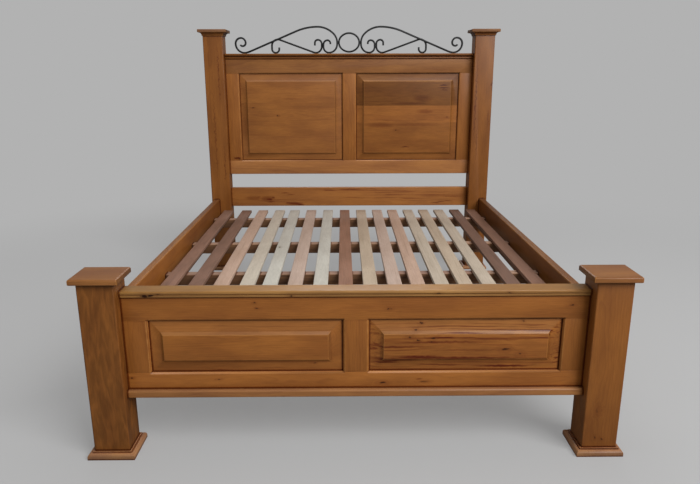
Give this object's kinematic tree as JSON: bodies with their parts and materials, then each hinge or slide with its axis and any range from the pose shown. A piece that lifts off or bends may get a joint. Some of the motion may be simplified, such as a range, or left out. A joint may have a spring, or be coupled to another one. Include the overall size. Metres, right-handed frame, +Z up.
{
  "type": "wooden bed",
  "caption": "Wooden bed with raised-panel headboard and footboard between capped square posts, side rails, a lift-out slatted base and a wrought-iron scroll crest.",
  "frame": {"origin": "on the floor, under the centre of the bed's bounding box", "axes": "+Z up; +Y from the foot of the bed to its head, along its length; +X to the right as seen from the foot"},
  "size_m": [1.684, 2.302, 1.4093],
  "materials": {
    "frame_timber": "satin varnish over honey-brown softwood",
    "panel_timber": "satin varnish over boards with dark streaks and knots",
    "bearer_timber": "sawn, unfinished",
    "slat_brown": "planed, unfinished brown timber",
    "slat_pink": "planed, unfinished pinkish timber",
    "slat_pale": "planed, unfinished pale timber",
    "slat_red": "planed, unfinished reddish timber",
    "crest_iron": "satin black paint on forged bar",
    "fitting_steel": "zinc-plated"
  },
  "bodies": {
    "bed_frame": {"head_post_left": "frame_timber", "foot_post_left": "frame_timber", "head_cap_left": "frame_timber", "foot_cap_left": "frame_timber", "side_rail_left": "frame_timber", "ledger_left": "bearer_timber", "head_post_right": "frame_timber", "foot_post_right": "frame_timber", "head_cap_right": "frame_timber", "foot_cap_right": "frame_timber", "side_rail_right": "frame_timber", "ledger_right": "bearer_timber", "head_post_bases": "frame_timber", "foot_post_bases": "frame_timber", "headboard_top_rail": "frame_timber", "headboard_bottom_rail": "frame_timber", "headboard_stile_centre": "frame_timber", "headboard_stile_left": "frame_timber", "headboard_stile_right": "frame_timber", "headboard_panel_left": "panel_timber", "headboard_panel_right": "panel_timber", "footboard_top_rail": "frame_timber", "footboard_bottom_rail": "frame_timber", "footboard_stile_centre": "frame_timber", "footboard_stile_left": "frame_timber", "footboard_stile_right": "frame_timber", "footboard_panel_left": "panel_timber", "footboard_panel_right": "panel_timber", "headboard_lower_rail": "frame_timber", "headboard_cap_rail": "frame_timber", "footboard_cap_rail": "frame_timber", "footboard_lip": "frame_timber", "crest_ring": "crest_iron", "crest_scroll_left": "crest_iron", "crest_scroll_right": "crest_iron", "crest_inner_scroll_left": "crest_iron", "crest_inner_scroll_right": "crest_iron", "crest_studs": "fitting_steel", "rail_hook_plates": "fitting_steel", "post_slot_plates": "fitting_steel"},
    "slat_base": {"bearer_1": "bearer_timber", "bearer_2": "bearer_timber", "bearer_3": "bearer_timber", "bearer_4": "bearer_timber", "slat_01": "slat_brown", "slat_02": "slat_brown", "slat_03": "slat_pink", "slat_04": "slat_pale", "slat_05": "slat_pale", "slat_06": "slat_pink", "slat_07": "slat_pale", "slat_08": "slat_red", "slat_09": "slat_pale", "slat_10": "slat_pink", "slat_11": "slat_pink", "slat_12": "slat_pale", "slat_13": "slat_pale", "slat_14": "slat_pale", "slat_15": "slat_brown", "slat_16": "slat_red"}
  },
  "joints": [
    {"name": "slat_base_lift", "type": "slide", "parent": "bed_frame", "child": "slat_base", "axis": [0, 0, 1], "range_m": [0, 1.1]}
  ]
}
